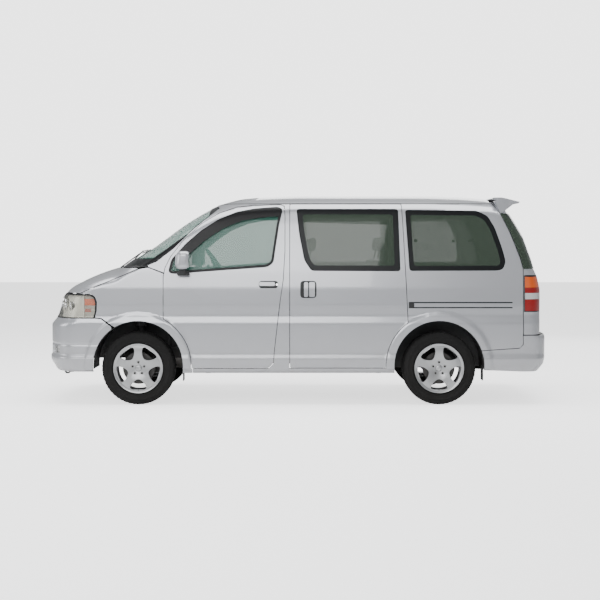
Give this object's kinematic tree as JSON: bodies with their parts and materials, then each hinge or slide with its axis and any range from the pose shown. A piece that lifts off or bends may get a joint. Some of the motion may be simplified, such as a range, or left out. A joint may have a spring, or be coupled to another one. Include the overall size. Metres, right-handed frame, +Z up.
{
  "type": "minivan",
  "caption": "Seven-seat minivan with a sloping nose, one sliding side door, opening front doors, tailgate and bonnet, and steered front wheels.",
  "frame": {"origin": "on the ground under the middle of the whole minivan", "axes": "+X points to the tail, so the nose faces -X; -Y is the vehicle's own left side; +Z is up"},
  "size_m": [4.814, 2.12, 1.995],
  "materials": {
    "silver_paint": "gloss metallic",
    "chassis_black": "satin",
    "black_plastic": "matt",
    "grille_plastic": "satin",
    "lamp_lens": "clear",
    "red_lens": "gloss",
    "clear_glass": "tinted",
    "dark_glass": "dark tinted",
    "tyre_rubber": "matt",
    "alloy": "satin lacquered",
    "bare_steel": "satin",
    "engine_metal": "cast",
    "seat_fabric": "woven",
    "trim_plastic": "grained"
  },
  "bodies": {
    "body": {"floor_pan": "chassis_black", "chassis_rails": "chassis_black", "crossmembers": "chassis_black", "left_side_panel": "silver_paint", "right_side_panel": "silver_paint", "roof_panel": "silver_paint", "firewall": "chassis_black", "front_wings": "silver_paint", "arch_liners": "black_plastic", "front_bumper": "silver_paint", "rear_bumper": "silver_paint", "radiator_grille": "grille_plastic", "headlamps": "lamp_lens", "windscreen": "clear_glass", "side_windows": "dark_glass", "sliding_door": "silver_paint", "sliding_door_window": "dark_glass", "front_seats": "seat_fabric", "rear_seats": "seat_fabric", "dashboard": "trim_plastic", "engine": "engine_metal", "propeller_shaft": "bare_steel", "rear_axle": "chassis_black", "front_suspension": "chassis_black", "fuel_tank": "black_plastic", "exhaust": "bare_steel", "spare_wheel": "tyre_rubber", "windscreen_wipers": "black_plastic"},
    "left_front_door": {"left_front_door": "silver_paint", "left_door_window": "clear_glass"},
    "right_front_door": {"right_front_door": "silver_paint", "right_door_window": "clear_glass"},
    "tailgate": {"tailgate": "silver_paint", "rear_window": "dark_glass", "rear_spoiler": "silver_paint", "tail_lamps": "red_lens"},
    "bonnet": {"bonnet": "silver_paint"},
    "left_knuckle": {"left_knuckle": "bare_steel"},
    "right_knuckle": {"right_knuckle": "bare_steel"},
    "front_left_wheel": {"front_left_tyre": "tyre_rubber", "front_left_rim": "alloy"},
    "front_right_wheel": {"front_right_tyre": "tyre_rubber", "front_right_rim": "alloy"},
    "rear_left_wheel": {"rear_left_tyre": "tyre_rubber", "rear_left_rim": "alloy"},
    "rear_right_wheel": {"rear_right_tyre": "tyre_rubber", "rear_right_rim": "alloy"},
    "steering_wheel": {"steering_wheel": "trim_plastic"}
  },
  "joints": [
    {"name": "left_steer", "type": "hinge", "parent": "body", "child": "left_knuckle", "pos_m": [-1.495, -0.71, 0.345], "axis": [0, 0, 1], "range_deg": [-35, 35]},
    {"name": "right_steer", "type": "hinge", "parent": "body", "child": "right_knuckle", "pos_m": [-1.495, 0.71, 0.345], "axis": [0, 0, 1], "range_deg": [-35, 35]},
    {"name": "steering_wheel_turn", "type": "hinge", "parent": "body", "child": "steering_wheel", "pos_m": [-0.83, 0.38, 1.314], "axis": [0.809, 0, 0.5878], "range_deg": [-540, 540]},
    {"name": "front_left_wheel_spin", "type": "hinge", "parent": "left_knuckle", "child": "front_left_wheel", "pos_m": [-1.495, -0.78, 0.345], "axis": [0, -1, 0], "continuous": true},
    {"name": "front_right_wheel_spin", "type": "hinge", "parent": "right_knuckle", "child": "front_right_wheel", "pos_m": [-1.495, 0.78, 0.345], "axis": [0, -1, 0], "continuous": true},
    {"name": "rear_left_wheel_spin", "type": "hinge", "parent": "body", "child": "rear_left_wheel", "pos_m": [1.345, -0.78, 0.345], "axis": [0, -1, 0], "continuous": true},
    {"name": "rear_right_wheel_spin", "type": "hinge", "parent": "body", "child": "rear_right_wheel", "pos_m": [1.345, 0.78, 0.345], "axis": [0, -1, 0], "continuous": true},
    {"name": "left_front_door_hinge", "type": "hinge", "parent": "body", "child": "left_front_door", "pos_m": [-1.257, -0.876, 0.97], "axis": [0, 0, -1], "range_deg": [0, 65]},
    {"name": "right_front_door_hinge", "type": "hinge", "parent": "body", "child": "right_front_door", "pos_m": [-1.257, 0.876, 0.97], "axis": [0, 0, 1], "range_deg": [0, 65]},
    {"name": "tailgate_hinge", "type": "hinge", "parent": "body", "child": "tailgate", "pos_m": [1.864, 0, 1.955], "axis": [0, -1, 0], "range_deg": [0, 80]},
    {"name": "bonnet_hinge", "type": "hinge", "parent": "body", "child": "bonnet", "pos_m": [-1.5, 0, 1.32], "axis": [0, 1, 0], "range_deg": [0, 50]}
  ],
  "couplings": [
    {"joint": "right_steer", "follows": "left_steer", "ratio": 1},
    {"joint": "steering_wheel_turn", "follows": "left_steer", "ratio": 15}
  ]
}
